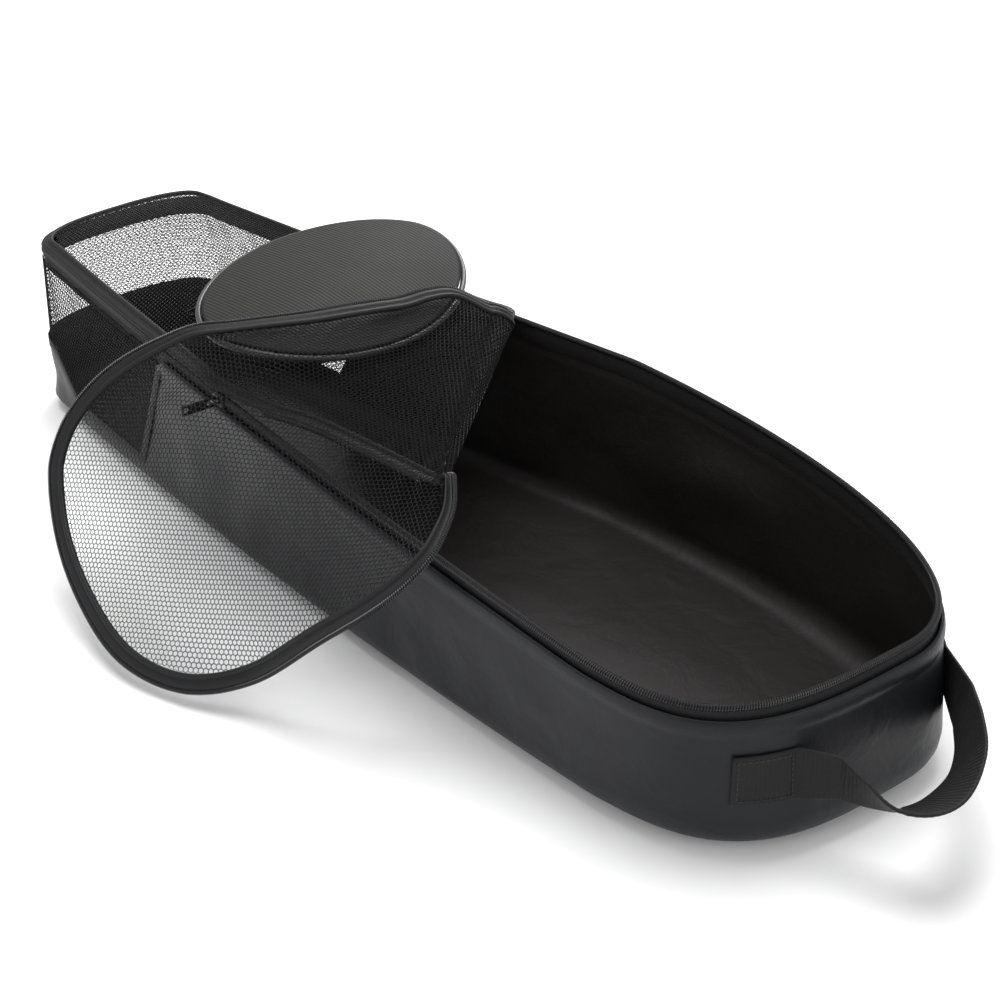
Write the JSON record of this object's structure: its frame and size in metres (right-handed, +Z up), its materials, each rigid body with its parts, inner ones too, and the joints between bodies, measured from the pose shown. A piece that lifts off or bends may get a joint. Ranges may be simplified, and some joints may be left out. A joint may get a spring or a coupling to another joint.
{
  "type": "dive fin bag",
  "caption": "Long fin bag that lies open on its back: coated-cloth tub, net top unzipped and folded back over a zipped oval mask pocket, webbing end handle.",
  "frame": {"origin": "underside of the tub's floor, at the middle of the tub's length and of its straight centre line", "axes": "+X towards the end with the webbing handle, +Y towards the side where the net top stays down, +Z up out of the open tub"},
  "size_m": [0.7731, 0.3449, 0.1611],
  "materials": {
    "coated_cloth": "dark charcoal coated cloth, slightly glossy",
    "net": "black polyester net with hexagonal holes",
    "band": "black woven zip tape and binding",
    "webbing": "black ribbed webbing",
    "zip_coil": "black nylon coil",
    "pocket_cloth": "charcoal woven cloth",
    "slider": "dark gunmetal paint"
  },
  "bodies": {
    "bag": {"base_tub": "coated_cloth", "side_net": "net", "lid_net": "net", "flap_net": "net", "rim_tape": "band", "lid_band": "band", "flap_band": "band", "rim_coil": "zip_coil", "lifted_coil": "zip_coil", "flap_coil": "zip_coil", "pocket_zip": "zip_coil", "pocket_panel": "pocket_cloth", "pocket_gusset": "pocket_cloth", "pocket_piping": "pocket_cloth", "end_handle": "webbing", "main_slider": "slider", "pocket_slider": "slider"},
    "main_pull": {"main_pull": "slider"},
    "pocket_pull": {"pocket_pull": "slider"}
  },
  "joints": [
    {"name": "main_pull_hinge", "type": "hinge", "parent": "bag", "child": "main_pull", "pos_m": [-0.06527, -0.11811, 0.11683], "axis": [0, 0, 1], "range_deg": [-70, 70]},
    {"name": "pocket_pull_hinge", "type": "hinge", "parent": "bag", "child": "pocket_pull", "pos_m": [-0.13582, -0.06723, 0.14137], "axis": [-0.2852, -0.4865, 0.8258], "range_deg": [-70, 70]}
  ]
}
